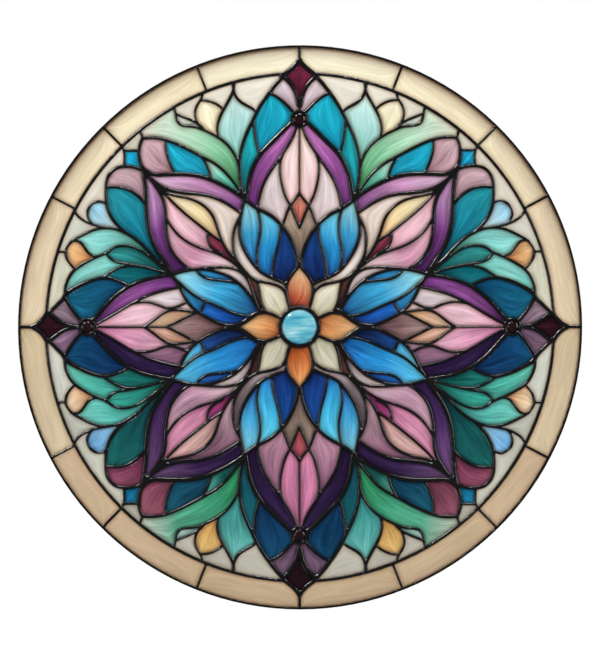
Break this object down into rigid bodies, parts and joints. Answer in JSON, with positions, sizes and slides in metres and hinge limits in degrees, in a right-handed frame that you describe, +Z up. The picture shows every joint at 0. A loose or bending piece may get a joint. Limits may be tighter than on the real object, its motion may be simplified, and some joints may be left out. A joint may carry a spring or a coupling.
{
  "type": "round stained glass mandala panel",
  "caption": "Round copper-foil stained-glass panel with a kaleidoscope mandala of streaky panes, round jewels, raised black solder seams, a channel rim and two hanging rings behind.",
  "frame": {"origin": "centre of the round panel, halfway through the glass", "axes": "+Z up as it hangs, +X to the viewer's right, the front face looks along -Y and +Y runs out of the back"},
  "size_m": [0.5, 0.0123, 0.5],
  "materials": {
    "glass_border": "opalescent sheet glass, gloss",
    "glass_diamonds": "opalescent sheet glass, gloss",
    "glass_north_tips_lilac": "opalescent sheet glass, gloss",
    "glass_east_tips_lilac": "opalescent sheet glass, gloss",
    "glass_north_tips_teal": "opalescent sheet glass, gloss",
    "glass_north_slim_teal": "opalescent sheet glass, gloss",
    "glass_north_purple": "opalescent sheet glass, gloss",
    "glass_north_pink": "opalescent sheet glass, gloss",
    "glass_north_lilac": "opalescent sheet glass, gloss",
    "glass_north_drops": "opalescent sheet glass, gloss",
    "glass_north_taupe": "opalescent sheet glass, gloss",
    "glass_north_navy": "opalescent sheet glass, gloss",
    "glass_north_blue": "opalescent sheet glass, gloss",
    "glass_north_sky": "opalescent sheet glass, gloss",
    "glass_north_crescents": "opalescent sheet glass, gloss",
    "glass_heart_gold_north": "opalescent sheet glass, gloss",
    "glass_heart_gold_east": "opalescent sheet glass, gloss",
    "glass_heart_cream": "opalescent sheet glass, gloss",
    "glass_heart_slivers": "opalescent sheet glass, gloss",
    "glass_east_crescents": "opalescent sheet glass, gloss",
    "glass_east_ocean": "opalescent sheet glass, gloss",
    "glass_east_sky": "opalescent sheet glass, gloss",
    "glass_east_keel": "opalescent sheet glass, gloss",
    "glass_east_navy": "opalescent sheet glass, gloss",
    "glass_east_taupe": "opalescent sheet glass, gloss",
    "glass_east_sand": "opalescent sheet glass, gloss",
    "glass_east_pink": "opalescent sheet glass, gloss",
    "glass_east_pearl": "opalescent sheet glass, gloss",
    "glass_east_purple": "opalescent sheet glass, gloss",
    "glass_petal_purple_inner": "opalescent sheet glass, gloss",
    "glass_petal_purple_outer": "opalescent sheet glass, gloss",
    "glass_petal_cream": "opalescent sheet glass, gloss",
    "glass_petal_yellow": "opalescent sheet glass, gloss",
    "glass_petal_pink": "opalescent sheet glass, gloss",
    "glass_petal_crimson": "opalescent sheet glass, gloss",
    "glass_petal_rose": "opalescent sheet glass, gloss",
    "glass_capsule_mauve": "opalescent sheet glass, gloss",
    "glass_capsule_teal": "opalescent sheet glass, gloss",
    "glass_capsule_blue": "opalescent sheet glass, gloss",
    "glass_capsule_mint": "opalescent sheet glass, gloss",
    "glass_east_blue": "opalescent sheet glass, gloss",
    "glass_east_leaf_dark": "opalescent sheet glass, gloss",
    "glass_east_leaf_turquoise": "opalescent sheet glass, gloss",
    "glass_drops": "opalescent sheet glass, gloss",
    "glass_north_leaf_green": "opalescent sheet glass, gloss",
    "glass_north_leaf_pale": "opalescent sheet glass, gloss",
    "glass_background": "opalescent sheet glass, gloss",
    "jewel_turquoise": "domed gloss glass",
    "jewel_garnet": "domed gloss glass",
    "black_patina": "polished black patina over solder",
    "lead_solder": "copper foil filled with solder",
    "rim_channel": "black patina channel",
    "hanger_brass": "black patina wire"
  },
  "bodies": {
    "panel": {"glass_border": "glass_border", "glass_diamonds": "glass_diamonds", "glass_north_tips_lilac": "glass_north_tips_lilac", "glass_east_tips_lilac": "glass_east_tips_lilac", "glass_north_tips_teal": "glass_north_tips_teal", "glass_north_slim_teal": "glass_north_slim_teal", "glass_north_purple": "glass_north_purple", "glass_north_pink": "glass_north_pink", "glass_north_lilac": "glass_north_lilac", "glass_north_drops": "glass_north_drops", "glass_north_taupe": "glass_north_taupe", "glass_north_navy": "glass_north_navy", "glass_north_blue": "glass_north_blue", "glass_north_sky": "glass_north_sky", "glass_north_crescents": "glass_north_crescents", "glass_heart_gold_north": "glass_heart_gold_north", "glass_heart_gold_east": "glass_heart_gold_east", "glass_heart_cream": "glass_heart_cream", "glass_heart_slivers": "glass_heart_slivers", "glass_east_crescents": "glass_east_crescents", "glass_east_ocean": "glass_east_ocean", "glass_east_sky": "glass_east_sky", "glass_east_keel": "glass_east_keel", "glass_east_navy": "glass_east_navy", "glass_east_taupe": "glass_east_taupe", "glass_east_sand": "glass_east_sand", "glass_east_pink": "glass_east_pink", "glass_east_pearl": "glass_east_pearl", "glass_east_purple": "glass_east_purple", "glass_petal_purple_inner": "glass_petal_purple_inner", "glass_petal_purple_outer": "glass_petal_purple_outer", "glass_petal_cream": "glass_petal_cream", "glass_petal_yellow": "glass_petal_yellow", "glass_petal_pink": "glass_petal_pink", "glass_petal_crimson": "glass_petal_crimson", "glass_petal_rose": "glass_petal_rose", "glass_capsule_mauve": "glass_capsule_mauve", "glass_capsule_teal": "glass_capsule_teal", "glass_capsule_blue": "glass_capsule_blue", "glass_capsule_mint": "glass_capsule_mint", "glass_east_blue": "glass_east_blue", "glass_east_leaf_dark": "glass_east_leaf_dark", "glass_east_leaf_turquoise": "glass_east_leaf_turquoise", "glass_drops": "glass_drops", "glass_north_leaf_green": "glass_north_leaf_green", "glass_north_leaf_pale": "glass_north_leaf_pale", "glass_background": "glass_background", "centre_jewel": "jewel_turquoise", "garnet_jewels": "jewel_garnet", "seam_core": "lead_solder", "front_bead": "black_patina", "back_bead": "black_patina", "rim_channel": "rim_channel", "rim_joint_solder": "black_patina", "hanger_tab_left": "hanger_brass", "hanger_tab_right": "hanger_brass"},
    "ring_left": {"hanger_ring_left": "hanger_brass"},
    "ring_right": {"hanger_ring_right": "hanger_brass"}
  },
  "joints": [
    {"name": "hanger_ring_left_swing", "type": "hinge", "parent": "panel", "child": "ring_left", "pos_m": [-0.08851, 0.005, 0.2247], "axis": [1, 0, 0], "range_deg": [0, 180]},
    {"name": "hanger_ring_right_swing", "type": "hinge", "parent": "panel", "child": "ring_right", "pos_m": [0.08851, 0.005, 0.2247], "axis": [1, 0, 0], "range_deg": [0, 180]}
  ]
}
